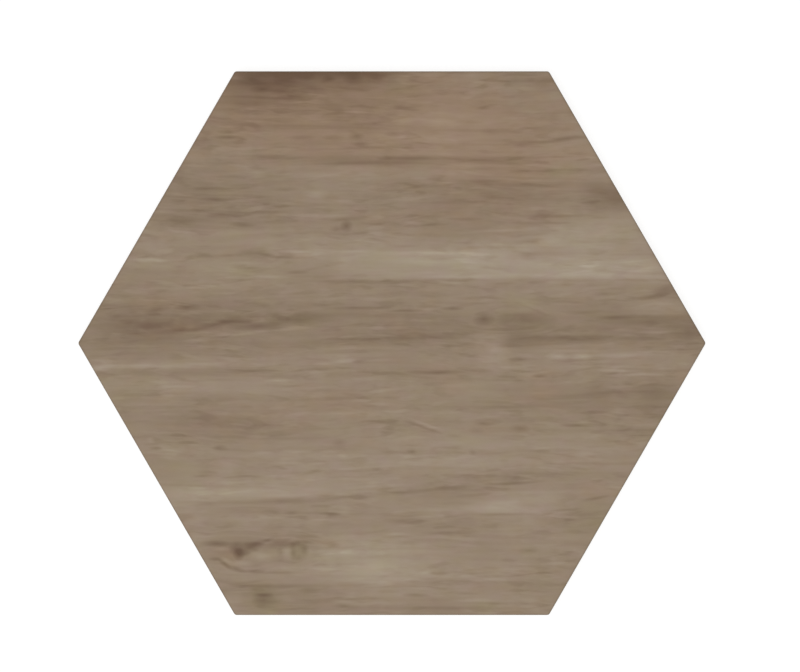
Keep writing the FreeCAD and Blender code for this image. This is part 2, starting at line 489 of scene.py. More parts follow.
# Single strokes of the grain, from the top down.
STROKES = (
    # The dark ragged end of the board along the top edge.
    Mark(-86, 270, 90, 7, -7),
    Mark(-140, 264, 16, 8, -7),
    Mark(-130, 254, 14, 4, -8),
    Mark(-108, 252, 16, 3, -7),
    Mark(-104, 264, 16, 6, -6),
    Mark(-86, 267, 10, 5, -10),
    Mark(-64, 264, 9, 4, -8),
    Mark(-38, 264, 11, 6, -8),
    Mark(-14, 268, 16, 4, -9),
    Mark(-104, 245, 18, 3, -5),
    Mark(-57, 232, 12, 4, -5),
    # The reddish board.
    Mark(-18, 220, 13, 2, -6),
    Mark(8, 236, 14, 2.5, -6),
    Mark(70, 250, 10, 4, -6),
    Mark(92, 235, 9, 2, -7),
    Mark(78, 221, 16, 2, -5),
    Mark(28, 241, 16, 2, 4),
    Mark(46, 222, 20, 2.5, 5),
    Mark(150, 226, 30, 2, -4),
    Mark(130, 246, 24, 3, -4),
    Mark(-164, 211.5, 13, 1.8, -9),
    Mark(-165, 206, 20, 2.2, -11),
    Mark(-150, 203.5, 8, 1.8, -7),
    Mark(-90, 205, 14, 3, -4),
    Mark(-60, 206, 14, 1.8, -6),
    Mark(-36, 207, 9, 3.5, -9),
    Mark(2, 209, 11, 2.4, -8),
    Mark(-32, 199, 10, 2, -5),
    Mark(98, 211, 12, 4, -5),
    Mark(140, 200.5, 32, 2.6, -9, 0.06),
    Mark(176, 204.5, 30, 2.8, -11, 0.10),
    # The dark joint under it.
    Mark(-128, 186, 26, 2.6, -8),
    Mark(-100, 185, 24, 2, -6),
    Mark(-20, 182, 96, 7, -9),
    Mark(-30, 179.5, 50, 1.8, -5),
    Mark(30, 185.5, 50, 2.4, -7),
    Mark(100, 183, 60, 5, -6),
    Mark(80, 183, 36, 2.2, -4, -0.06),
    Mark(130, 171, 13, 1.6, -6),
    # The quiet board.
    Mark(-158, 167, 24, 1.8, -6),
    Mark(-118, 167, 20, 1.6, -4),
    Mark(-182, 154.5, 24, 1.8, -8),
    Mark(-148, 155, 18, 1.6, -5),
    Mark(-108, 154, 18, 1.8, -6),
    Mark(-76, 150, 14, 5, 8),
    Mark(-178, 144, 20, 2, -9),
    Mark(-134, 146, 20, 2, -3),
    Mark(22, 158, 46, 2.4, -7),
    Mark(88, 162, 30, 1.8, -5),
    Mark(100, 147, 18, 5, -5),
    Mark(140, 147, 70, 8, -4),
    Mark(70, 143, 24, 2, -5),
    Mark(222, 146, 22, 9, -5),
    Mark(204, 155, 22, 6, -4),
    Mark(196, 142, 14, 3, -5),
    Mark(-135, 131, 34, 1.8, -7),
    Mark(-165, 128, 24, 3, -5),
    Mark(-212, 121, 20, 3, -5),
    Mark(-190, 133, 14, 2, -5),
    Mark(-150, 119, 14, 2, -7),
    Mark(36, 126, 20, 1.6, -5),
    Mark(74, 124, 20, 1.8, -7),
    Mark(165, 127.5, 40, 1.8, -7),
    Mark(152, 120, 38, 1.6, -6),
    Mark(38, 118.5, 20, 1.6, -7),
    Mark(-48, 124, 34, 1.6, -6),
    Mark(-60, 127.5, 44, 1.4, 5),
    Mark(12, 113, 14, 5, 3),
    Mark(-110, 107, 14, 1.8, -5),
    Mark(120, 113, 60, 1.6, 6, 0.05),
    # The light board and its wavy dark line.
    Mark(128, 107, 14, 1.6, -5, 0.12),
    Mark(136, 102, 18, 1.8, -6, 0.12),
    Mark(72, 100, 14, 1.5, -5),
    Mark(106, 96, 20, 1.6, -6),
    Mark(158, 101, 22, 4, 7),
    Mark(8, 97, 20, 1.6, -5),
    Mark(136, 87, 12, 4, -6),
    Mark(-242, 83, 20, 1.8, 14),
    Mark(-205, 84, 10, 2.6, -7, 0.25),
    Mark(-190, 87, 16, 2.6, -7, 0.10),
    Mark(-164, 88, 16, 2, -6),
    Mark(-138, 90, 22, 5, -9),
    Mark(-124, 88, 14, 2, -8, -0.20),
    Mark(-104, 86, 20, 2.2, -7),
    Mark(-92, 91.5, 26, 1.6, 9),
    Mark(-38, 91.5, 28, 1.4, 6),
    Mark(30, 90, 60, 2, 7),
    Mark(-148, 80, 26, 1.6, 5),
    Mark(-142, 75, 22, 1.6, -7),
    Mark(-96, 71, 15, 1.6, -6),
    Mark(-122, 66, 24, 2, 8),
    Mark(180, 67.5, 110, 3, 5),
    Mark(76, 66.5, 60, 2, 6),
    Mark(-46, 61.5, 40, 2.2, -8),
    Mark(0, 61.5, 44, 2.4, -9),
    Mark(60, 69, 90, 4.5, 3),
    Mark(200, 69.5, 90, 4.5, 3),
    Mark(60, 63, 60, 2, -6),
    Mark(150, 60, 150, 5, -3),
    Mark(160, 62.5, 70, 1.8, -4),
    Mark(245, 63, 44, 1.6, -6),
    # The dark board.
    Mark(258, 47, 24, 2.4, -10, 0.16),
    Mark(274, 54, 16, 5, -6, 0.30),
    Mark(212, 49, 16, 1.8, -6),
    Mark(38, 47, 12, 1.8, -5),
    Mark(82, 45, 26, 2, -6),
    Mark(60, 35, 14, 2, -11),
    Mark(36, 37, 16, 1.6, -6),
    Mark(12, 32.5, 24, 1.8, -10),
    Mark(-28, 35, 44, 1.6, -7),
    Mark(-205, 36, 16, 3.2, -12),
    Mark(-235, 34, 16, 4, -6, 0.20),
    Mark(-135, 39, 14, 2.4, -6),
    Mark(-195, 44, 34, 1.8, 4),
    Mark(-250, 16, 30, 9, -5),
    Mark(-262, 22, 12, 3, -6),
    Mark(-236, 18, 14, 4, -3),
    Mark(-210, 12, 36, 3, -10, 0.04),
    Mark(-180, 18, 24, 4, -10, 0.22),
    Mark(-155, 22.5, 28, 5, -9, 0.06),
    Mark(-132, 16.5, 36, 4, -11, 0.04),
    Mark(-104, 24, 24, 8, -6),
    Mark(-80, 25, 28, 6, -6),
    Mark(-190, 4, 24, 2, 8, 0.12),
    Mark(-150, 10, 28, 2, 8, 0.10),
    Mark(-98, 14.5, 24, 2, 8, 0.08),
    Mark(-276, 26, 16, 5, -6),
    Mark(92, 24, 12, 8, -12),
    Mark(132, 23, 36, 9, -6),
    Mark(124, 28, 28, 1.8, -3),
    Mark(138, 38, 16, 2, 4, -0.30),
    Mark(148, 31, 14, 1.8, -5, -0.35),
    Mark(172, 41, 26, 1.8, -5),
    Mark(190, 31, 24, 2, -5),
    Mark(222, 25, 22, 1.8, -7),
    Mark(258, 22, 56, 6, -6),
    Mark(298, 12, 18, 10, -4),
    Mark(266, 11, 26, 1.6, 7),
    Mark(232, 13, 14, 1.6, 5),
    Mark(52, 7, 32, 4, -8),
    Mark(10, 4.5, 36, 3, -6),
    Mark(-40, 4, 34, 1.8, -6),
    Mark(130, 4, 32, 8, -7),
    Mark(178, 5, 54, 4.5, -7),
    Mark(240, 4, 40, 2, -4),
    Mark(118, -3, 14, 2.4, -6),
    # The streaky light board.
    Mark(130, -16.5, 18, 2.2, -9),
    Mark(166, -13, 14, 3.4, 11),
    Mark(189, -13, 13, 3.4, 10),
    Mark(170, -8, 44, 1.6, 5),
    Mark(232, -12, 34, 2, 5),
    Mark(226, -27.5, 24, 1.5, 10),
    Mark(258, -31, 24, 1.5, 7),
    Mark(206, -21, 34, 1.6, -5),
    Mark(-294, -25.5, 12, 1.8, 11),
    Mark(-240, -22.5, 76, 2.8, 7),
    Mark(-186, -20.5, 34, 1.6, 4),
    Mark(-66, -21, 16, 1.6, 8),
    Mark(-48, -18.5, 16, 1.5, 6, 0.10),
    Mark(-14, -17, 30, 1.6, 4),
    Mark(-225, -29, 84, 4.5, -7),
    Mark(-136, -28.5, 44, 2.2, -8),
    Mark(-70, -26, 34, 1.8, -6, 0.06),
    Mark(44, -29, 34, 2, -12),
    Mark(92, -27, 12, 1.8, -5),
    Mark(147, -33, 10, 1.8, -9),
    Mark(-114, -37, 18, 1.6, 11),
    Mark(-175, -37, 34, 1.4, -3),
    Mark(-15, -61, 22, 1.5, 6),
    Mark(-70, -47, 26, 1.8, -4),
    Mark(-60, -70, 40, 2, 3),
    # The plain middle with its scratch and eyes.
    Mark(206, -49, 28, 5, -3),
    Mark(260, -50, 22, 14, -3),
    Mark(186, -82, 24, 2, -9),
    Mark(92, -81, 12, 2, -7),
    Mark(128, -85, 12, 4, -9),
    Mark(84, -87, 9, 3, -5),
    Mark(31, -84, 24, 1.4, -8, -0.34),
    Mark(33, -81, 22, 1.4, 8, -0.34),
    Mark(62, -93, 10, 1.5, -5),
    Mark(-240, -97, 5, 3, 6),
    Mark(-237, -105, 8, 1.8, -9),
    Mark(-172, -105, 9, 3, -8),
    Mark(-52, -100, 8, 5, -5),
    Mark(-50, -112.5, 7, 1.5, 7),
    Mark(-130, -109.5, 14, 1.5, 6),
    Mark(-98, -108, 12, 1.5, 6),
    Mark(-60, -108, 14, 1.5, 5),
    Mark(-108, -120, 18, 1.6, 5),
    Mark(-14, -126, 7, 2, -6),
    Mark(-30, -121, 26, 1.4, -3),
    Mark(20, -109, 7, 2, -7),
    Mark(82, -110, 5, 3, -7),
    Mark(110, -117, 6, 2, -5),
    Mark(160, -107, 44, 2, -4),
    Mark(-190, -133, 14, 1.6, -6),
    Mark(-140, -133, 14, 1.6, -5),
    Mark(-40, -134, 34, 1.4, -4),
    # The rising joint below it.
    Mark(-182, -149, 60, 9, 3),
    Mark(-115, -147, 70, 6, 5),
    Mark(-100, -151.5, 70, 2.4, 4),
    Mark(-180, -160, 46, 3.4, -7),
    Mark(-112, -158, 54, 3.4, -9, 0.03),
    Mark(-44, -154, 42, 3.6, -9, 0.07),
    Mark(10, -149, 34, 3, -9, 0.05),
    Mark(-14, -143, 40, 1.8, 5, 0.06),
    Mark(58, -145, 34, 2.4, -8, 0.07),
    Mark(122, -140, 34, 1.8, -11, 0.03),
    Mark(150, -130, 70, 2, -4),
    Mark(104, -164, 38, 6, 8),
    Mark(105, -171.5, 50, 1.8, -5, 0.03),
    Mark(174, -167, 20, 1.8, -8, 0.10),
    Mark(203, -155, 18, 1.8, -8, 0.14),
    Mark(-62, -171, 12, 1.6, -7),
    Mark(-50, -169, 14, 1.4, 6),
    Mark(-100, -170, 10, 1.6, -5),
    Mark(-66, -176, 20, 1.4, 4),
    Mark(12, -178, 24, 3, -7),
    Mark(36, -174, 20, 1.6, 4),
    Mark(60, -189.5, 34, 1.8, -7),
    Mark(4, -191, 16, 1.5, 6),
    Mark(6, -194, 18, 1.4, -6),
    Mark(16, -200, 20, 1.4, -6),
    # The light board with the knot.
    Mark(-58, -202, 9, 3, -9),
    Mark(-84, -193, 26, 1.6, -6),
    Mark(-20, -224, 30, 9, 4),
    Mark(-50, -209, 20, 3, 4),
    Mark(136, -207, 14, 3.4, -6),
    Mark(96, -226, 18, 1.4, -4),
    Mark(84, -230, 24, 1.4, -5),
    Mark(150, -229, 22, 1.8, -6),
    Mark(90, -237, 30, 1.6, 6),
    Mark(120, -233, 50, 1.4, -4),
    Mark(-14, -239, 20, 1.6, 6),
    Mark(14, -236, 24, 1.5, 5),
    Mark(24, -252, 16, 2.2, -9),
    Mark(74, -250, 14, 2, -6),
    Mark(84, -257, 24, 2, 6),
    Mark(-110, -243, 60, 2, -5),
    Mark(-148, -242, 20, 1.8, -6),
    Mark(-84, -247, 14, 2.4, -5),
    Mark(-128, -257, 13, 10, -7),
    Mark(-126, -252, 10, 2, -8),
    Mark(-46, -259, 14, 1.6, 7),
    Mark(-46, -263, 16, 1.8, -8),
    Mark(-100, -266, 24, 1.6, -6),
    Mark(110, -260, 34, 1.6, -5),
    Mark(60, -265, 90, 2, -5),
)

# The knot near the lower left corner, the ring beside it and the small eye in the quiet board.
KNOT = (
    Mark(-45.5, 117, 7, 6.5, -13),
    Mark(-55, 114, 9, 2.4, -6),
    Mark(-176, -200.5, 17, 3, -13),
    Mark(-146, -201, 20, 2.6, -4),
    Mark(-156, -205, 8, 7, -9),
    Mark(-153, -211, 6.5, 6.5, -16),
    Mark(-147, -211, 8, 3.6, -7),
    Mark(-142, -204.5, 16, 6, -12, 0.30),
    Mark(-134, -200, 13, 3, -5, 0.35),
    Mark(-124, -197, 8, 1.8, -8, 0.30),
    Mark(-106, -200, 22, 4, -8),
    Mark(-176, -216, 9, 2, -9),
    Mark(-167, -221, 9, 2.6, -11, -0.70),
    Mark(-156, -226, 12, 2.8, -11, -0.25),
    Mark(-140, -228, 16, 1.8, -9),
    Mark(-112, -229.5, 28, 1.5, -7),
    Mark(-170, -206, 12, 2, 6),
    Mark(-166, -217, 8, 2.4, 9, -0.30),
    Mark(-152, -220, 16, 3, 8),
    Mark(-132, -214, 14, 7, 6),
    Mark(-111, -210, 5, 8, -6),
    Mark(-105, -208, 5, 5, 2),
    Mark(-93, -207, 9, 9, -5),
    Mark(-99, -208, 4.5, 9, -8),
    Mark(-87, -207, 5, 8, -8),
    Mark(-94, -215, 9, 3.4, -8),
    Mark(-84, -199, 8, 2, -7, -0.20),
    Mark(-94, -199, 11, 2.4, -6),
)

# Where the fine grain is pushed apart: middle, half sizes, and the share of its spacing in percent.
BENDS = (
    Mark(-150, -212, 46, 30, 70),
    Mark(-96, -208, 30, 22, 60),
    Mark(-236, 18, 80, 24, 55),
    Mark(120, 24, 60, 20, 60),
    Mark(-45, 117, 26, 18, 60),
    Mark(-140, 84, 70, 20, 40),
)


@dataclass(frozen=True)
class Coat:
    """What a finish gives the shader: colour, roughness and height in tenths of a millimetre."""

    colour: Wire
    roughness: Wire
    height: Wire


@dataclass(frozen=True)
class Layer:
    """One layer of noise, with its fleck size in dots and its strength, which the print counts in levels.

    A layer with a threshold shows only where its noise climbs from the first number to the second. One
    with a depth changes along Z too.
    """

    along: float
    across: float
    seed: float
    detail: float
    strength: float
    threshold: Numbers | None = None
    deep: float | None = None

    def read(self, graph: Graph, place: Wire) -> Wire:
        """Reads the layer.

        Args:
            graph: Where the nodes go.
            place: Where it is read, in dots.

        Returns:
            Its value there.
        """
        grain = (self.along, self.across, self.deep or 1.0)
        value = graph.flecks(place, grain, self.seed, self.detail, self.deep is None)
        if self.threshold:
            value = graph.eased(value, *self.threshold)
        return value * self.strength


@dataclass(frozen=True)
class WoodPrint:
    """The printed matt glaze: boards of grey-brown wood with their grain along X."""

    stops: tuple[tuple[float, Numbers], ...] = (
        (0.05, linear(96, 74, 54)),
        (0.20, linear(112, 91, 71)),
        (0.35, linear(127, 108, 87)),
        (0.50, linear(142, 123.6, 103)),
        (0.63, linear(152, 135, 116)),
        (0.75, linear(160, 145, 126)),
        (0.90, linear(174, 161, 143)),
    )
    red_tint: Numbers = (1.03, 0.947, 0.90, 1.0)
    olive_tint: Numbers = (0.98, 1.015, 0.92, 1.0)
    straw_tint: Numbers = (1.0, 1.0, 0.93, 1.0)
    mauve_tint: Numbers = (1.01, 0.98, 1.05, 1.0)
    levels_per_ramp: float = 100.0
    ramp_middle: float = 0.5
    middle_tone: float = 0.8
    stroke_ink: float = 1.9
    knot_ink: float = 2.1
    wash_ink: float = 1.3

    waves: Layer = Layer(240.0, 80.0, 1.0, 1.0, 6.0)
    fibres: Layer = Layer(28.0, 4.0, 2.0, 1.2, 3.2)
    pores: Layer = Layer(12.0, 2.8, 3.0, 0.0, -2.2, (0.20, 0.50))
    veins: Layer = Layer(26.0, 5.2, 9.0, 0.4, -6.2, (0.14, 0.54))
    glints: Layer = Layer(30.0, 5.2, 10.0, 0.4, 5.6, (0.16, 0.54))
    mottling: Layer = Layer(14.0, 8.0, 17.0, 1.0, 4.2)
    busyness: Layer = Layer(80.0, 26.0, 15.0, 1.0, 1.2)
    even_share: float = 0.85
    bands: Layer = Layer(240.0, 8.0, 5.0, 1.0, 6.0)
    seams: Layer = Layer(150.0, 7.0, 18.0, 0.6, -5.0, (0.16, 0.52))
    swells: Layer = Layer(90.0, 16.0, 6.0, 2.0, 5.0)
    haze: Layer = Layer(34.0, 22.0, 7.0, 2.0, 3.5)
    shake: Layer = Layer(36.0, 9.0, 4.0, 1.0, 3.5)
    shake_across: float = -0.3
    blotches: Layer = Layer(30.0, 16.0, 8.0, 2.0, 60.0)
    warmth: Layer = Layer(26.0, 14.0, 16.0, 3.0, 1.5)

    roughness: float = 0.53
    fibre_roughness: float = 0.017
    fibre_relief: float = 0.028
    pore_relief: float = 0.08

    def warped(self, graph: Graph, place: Wire) -> Wire:
        """Bends the grain's lines gently, and round the knots.

        Args:
            graph: Where the nodes go.
            place: The place on the print, in dots.

        Returns:
            The place that the grain is read at.
        """
        parts = graph.node("ShaderNodeSeparateXYZ", None, {"Vector": place})
        x, y = (Wire(graph, parts.outputs[name]) for name in ("X", "Y"))
        bent = y + self.waves.read(graph, place)
        for knot in BENDS:
            push = knot.fall(graph, place) * (knot.tone * PERCENT)
            bent = bent - push * (y - knot.y)
        return graph.wire("ShaderNodeCombineXYZ", None, {"X": x, "Y": bent})

    def shaken(self, graph: Graph, place: Wire) -> Wire:
        """Shifts a place slightly, so that marks have ragged ends.

        Args:
            graph: Where the nodes go.
            place: The place on the print, in dots.

        Returns:
            The place that the marks are drawn at.
        """
        shift = self.shake.read(graph, place)
        step = graph.wire("ShaderNodeCombineXYZ", None, {"X": shift, "Y": shift * self.shake_across})
        inputs = {"Vector": place, "Vector_001": step}
        return graph.wire("ShaderNodeVectorMath", {"operation": "ADD"}, inputs)

    def coat(self, graph: Graph, place: Wire) -> Coat:
        """Draws the print.

        Args:
            graph: Where the nodes go.
            place: The place on the print, in dots.

        Returns:
            The glaze's coat.
        """
        grain = self.warped(graph, place)
        fibres = self.fibres.read(graph, grain)
        pores = self.pores.read(graph, grain)
        fine = fibres + pores
        for layer in (self.veins, self.glints, self.mottling):
            fine = fine + layer.read(graph, grain)
        tone = fine * (self.busyness.read(graph, place) + self.even_share) + self.middle_tone
        for layer in (self.bands, self.seams, self.swells):
            tone = tone + layer.read(graph, grain)
        tone = tone + self.haze.read(graph, place)

        hand = self.shaken(graph, place)
        tone = drawn(graph, hand, CLOUDS, tone, self.wash_ink)
        tone = drawn(graph, hand, STROKES, tone, self.stroke_ink)
        tone = drawn(graph, place, KNOT, tone, self.knot_ink)
        colour = graph.ramp(tone * (1.0 / self.levels_per_ramp) + self.ramp_middle, self.stops)

        blotches = self.blotches.read(graph, place)
        warmth = self.warmth.read(graph, place)
        tints = (
            (drawn(graph, hand, REDDISH, blotches, self.wash_ink) * PERCENT, self.red_tint),
            (drawn(graph, hand, OLIVE, -blotches, self.wash_ink) * PERCENT, self.olive_tint),
            (warmth, self.straw_tint),
            (-warmth, self.mauve_tint),
        )
        for share, tint in tints:
            colour = graph.mixed(share, colour, tint, "MULTIPLY")

        roughness = fibres * self.fibre_roughness + self.roughness
        height = fibres * self.fibre_relief + pores * self.pore_relief
        return Coat(colour, roughness, height)


@dataclass(frozen=True)
class FiredBody:
    """The bare porcelain body: pale, fine-grained and faintly dragged by the die."""

    pale: Numbers = linear(190, 179, 162)
    dark: Numbers = linear(158, 146, 129)
    speck: Numbers = linear(104, 90, 76)
    dark_share: float = 0.4
    clouds: Layer = Layer(28.0, 28.0, 11.0, 3.0, 0.5, deep=10.0)
    crumbs: Layer = Layer(1.6, 1.6, 12.0, 2.0, 0.35, deep=1.6)
    drag: Layer = Layer(2.4, 2.4, 13.0, 1.0, 0.25, deep=60.0)
    specks: Layer = Layer(2.6, 2.6, 14.0, 0.0, 0.7, (0.52, 0.66), deep=2.6)
    roughness: float = 0.62
    crumb_roughness: float = 0.23
    crumb_relief: float = 0.63
    drag_relief: float = 0.48

    def coat(self, graph: Graph, place: Wire) -> Coat:
        """Draws the body.

        Args:
            graph: Where the nodes go.
            place: The place on the tile, in dots.

        Returns:
            The body's coat.
        """
        crumbs = self.crumbs.read(graph, place)
        drag = self.drag.read(graph, place)
        darkness = self.clouds.read(graph, place) + crumbs + drag + self.dark_share
        colour = graph.mixed(darkness, self.pale, self.dark)
        colour = graph.mixed(self.specks.read(graph, place), colour, self.speck)
        roughness = crumbs * self.crumb_roughness + self.roughness
        return Coat(colour, roughness, crumbs * self.crumb_relief + drag * self.drag_relief)


@dataclass(frozen=True)
class KilnWash:
    """The chalky wash that the rollers leave on the ribs of the keyed back, with painted shade darkening
    the cells below them.
    """

    chalk: Numbers = linear(212, 207, 197)
    cell_shade: Numbers = linear(146, 134, 118)
    rib_tops: float = 0.3
    on_ribs: float = 0.80
    in_cells: float = 0.10
    cell_shade_share: float = 0.35
    patches: Layer = Layer(60.0, 26.0, 21.0, 3.0, 0.7, deep=20.0)
    rollers: Layer = Layer(400.0, 5.0, 22.0, 2.0, 0.4, deep=20.0)
    wear: Layer = Layer(3.0, 3.0, 23.0, 2.0, 0.6, deep=3.0)
    cover: Numbers = (-0.55, 0.40)
    chalk_roughness: float = 0.12
    chalk_relief: float = 0.5

    def over(self, graph: Graph, place: Wire, depth: Wire, body: Coat) -> Coat:
        """Lays the wash over the body, and paints shade into the cells.

        Args:
            graph: Where the nodes go.
            place: The place on the tile, in dots.
            depth: The height above the floor, in dots.
            body: The coat below.

        Returns:
            The washed coat.
        """
        wear = self.wear.read(graph, place)
        uneven = self.patches.read(graph, place) + self.rollers.read(graph, place) + wear
        high = graph.eased(depth, self.rib_tops, 0.0)
        share = graph.eased(uneven, *self.cover)
        share = share * (high * (self.on_ribs - self.in_cells) + self.in_cells)
        # Painted shade: the cells' walls and floors are darkened where they sink below the ribs.
        colour = graph.mixed((1.0 - high) * self.cell_shade_share, body.colour, self.cell_shade)
        colour = graph.mixed(share, colour, self.chalk)
        roughness = share * self.chalk_roughness + body.roughness
        return Coat(colour, roughness, share * wear * self.chalk_relief + body.height)


class Finish(enum.IntEnum):
    """The tile's material slots, in their order on the mesh."""

    PRINT = 0
    FIRED_BODY = 1
    KEYED_BACK = 2


@dataclass(frozen=True)
class Paintshop:
    """Makes the tile's three materials from its finishes."""

    glaze: WoodPrint = WoodPrint()
    body: FiredBody = FiredBody()
    wash: KilnWash = KilnWash()
    face_height: float = 9.5 * MM * DOTS_PER_METRE
    bump_depth: float = 0.1 * MM
    bump_strength: float = 0.6
    refraction: float = 1.5
    gloss: float = 0.3

    # Painted shade that darkens the arris from the face down, and where the glaze ends on the arris, in
    # dots below the face.
    arris_shade: Numbers = linear(112, 97, 82)
    arris_shade_share: float = 0.45
    arris_shade_from: float = 0.05
    arris_shade_to: float = 0.9
    foot_from: float = 1.6
    foot_to: float = 2.6
    foot: Layer = Layer(7.0, 7.0, 31.0, 3.0, 0.9, deep=3.0)

    # How far down the sides the glaze's spray reaches, in dots below the face.
    spray: Numbers = linear(140, 122, 104)
    spray_share: float = 0.35
    spray_from: float = 2.0
    spray_to: float = 7.0
    drops: Layer = Layer(5.0, 5.0, 32.0, 3.0, 3.0, deep=8.0)

    def materials(self) -> dict[Finish, bpy.types.Material]:
        """Makes every material.

        Returns:
            The materials by finish.
        """
        return {
            Finish.PRINT: self.made("matt_wood_print", self.print_coat),
            Finish.FIRED_BODY: self.made("fired_porcelain", self.body_coat),
            Finish.KEYED_BACK: self.made("washed_back", self.back_coat),
        }

    def made(self, name: str, coat_of: Callable[[Graph, Wire, Wire], Coat]) -> bpy.types.Material:
        """Makes one material.

        Args:
            name: What it is called.
            coat_of: Draws its coat, from a graph, the place and the height.

        Returns:
            The material.
        """
        material = bpy.data.materials.new(name)
        material.use_nodes = True
        material.node_tree.nodes.clear()
        graph = Graph(material.node_tree)
        object_place = graph.wire("ShaderNodeTexCoord", None, None, "Object")
        place = graph.scaled(object_place, (DOTS_PER_METRE,) * 3)
        parts = graph.node("ShaderNodeSeparateXYZ", None, {"Vector": place})
        coat = coat_of(graph, place, Wire(graph, parts.outputs["Z"]))
        relief = {"Height": coat.height, "Strength": self.bump_strength, "Distance": self.bump_depth}
        bump = graph.wire("ShaderNodeBump", None, relief)
        shader = graph.wire(
            "ShaderNodeBsdfPrincipled",
            None,
            {
                "Base Color": coat.colour,
                "Roughness": coat.roughness,
                "Normal": bump,
                "IOR": self.refraction,
                "Specular IOR Level": self.gloss,
            },
        )
        graph.node("ShaderNodeOutputMaterial", None, {"Surface": shader})
        return material

    def print_coat(self, graph: Graph, place: Wire, height: Wire) -> Coat:
        """Draws the printed glaze, painted shade on the arris and the ragged foot where the glaze stops
        on the arris.

        Args:
            graph: Where the nodes go.
            place: The place on the tile, in dots.
            height: The height above the floor, in dots.

        Returns:
            The coat of the face and the arris.
        """
        flat = graph.scaled(place, (1.0, 1.0, 0.0))
        glaze = self.glaze.coat(graph, flat)
        body = self.body.coat(graph, place)
        below = self.face_height - height
        bare = graph.eased(below - self.foot.read(graph, place), self.foot_from, self.foot_to)
        # Painted shade: the arris is darkened as it rolls away from the face.
        shade_on_arris = graph.eased(below, self.arris_shade_from, self.arris_shade_to)
        colour = graph.mixed(shade_on_arris * self.arris_shade_share, glaze.colour, self.arris_shade)
        colour = graph.mixed(bare, colour, body.colour)
        covered = 1.0 - bare
        return Coat(
            colour,
            glaze.roughness * covered + body.roughness * bare,
            glaze.height * covered + body.height * bare,
        )

    def body_coat(self, graph: Graph, place: Wire, height: Wire) -> Coat:
        """Draws the bare sides.

        Args:
            graph: Where the nodes go.
            place: The place on the tile, in dots.
            height: The height above the floor, in dots.

        Returns:
            The coat of the sides.
        """
        body = self.body.coat(graph, place)
        reach = self.face_height - height - self.drops.read(graph, place)
        mist = graph.eased(reach, self.spray_to, self.spray_from)
        colour = graph.mixed(mist * self.spray_share, body.colour, self.spray)
        return Coat(colour, body.roughness, body.height)

    def back_coat(self, graph: Graph, place: Wire, height: Wire) -> Coat:
        """Draws the keyed back.

        Args:
            graph: Where the nodes go.
            place: The place on the tile, in dots.
            height: The height above the floor, in dots.

        Returns:
            The coat of the back.
        """
        return self.wash.over(graph, place, height, self.body.coat(graph, place))


@dataclass
class MeshStock:
    """The points and faces of a piece while it is being built, in millimetres."""

    points: list[Numbers] = field(default_factory=list)
    faces: list[tuple[int, ...]] = field(default_factory=list)
    places: list[Numbers] = field(default_factory=list)
    finishes: list[int] = field(default_factory=list)

    def add_points(self, points: Iterable[Sequence[float]]) -> list[int]:
        """Adds points.

        Args:
            points: Their coordinates.

        Returns:
            Their numbers.
        """
        first = len(self.points)
        self.points.extend(tuple(float(value) for value in point) for point in points)
        return list(range(first, len(self.points)))

    def add_face(self, corners: Sequence[int], places: Sequence[Numbers], finish: Finish) -> None:
        """Adds a face.

        Args:
            corners: The numbers of its points, counter-clockwise from outside.
            places: Where each corner lies on the map.
            finish: Its material slot.
        """
        self.faces.append(tuple(corners))
        self.places.extend(places)
        self.finishes.append(int(finish))

    def bake(self, name: str, crease: float) -> bpy.types.Object:
        """Makes the piece.

        Args:
            name: The piece's name.
            crease: The angle from which an edge is sharp, in degrees.

        Returns:
            The new object, in metres.
        """
        mesh = bpy.data.meshes.new(name)
        mesh.from_pydata((np.array(self.points) * MM).tolist(), [], self.faces)
        layer = mesh.uv_layers.new(name=BAKE_MAP)
        layer.uv.foreach_set("vector", np.array(self.places, np.float32).ravel())
        mesh.polygons.foreach_set("material_index", np.array(self.finishes, np.int32))
        mesh.polygons.foreach_set("use_smooth", np.ones(len(self.faces), bool))
        mesh.set_sharp_from_angle(angle=math.radians(crease))
        mesh.update()
        piece = bpy.data.objects.new(name, mesh)
        bpy.context.scene.collection.objects.link(piece)
        return piece


@dataclass(frozen=True)
class MapSpot:
    """A part of the map: where its own zero lies and how much map a millimetre takes."""

    u: float
    v: float
    scale: float

    def at(self, x: float, y: float) -> Numbers:
        """Places millimetres on the map."""
        return (self.u + x * self.scale, self.v + y * self.scale)


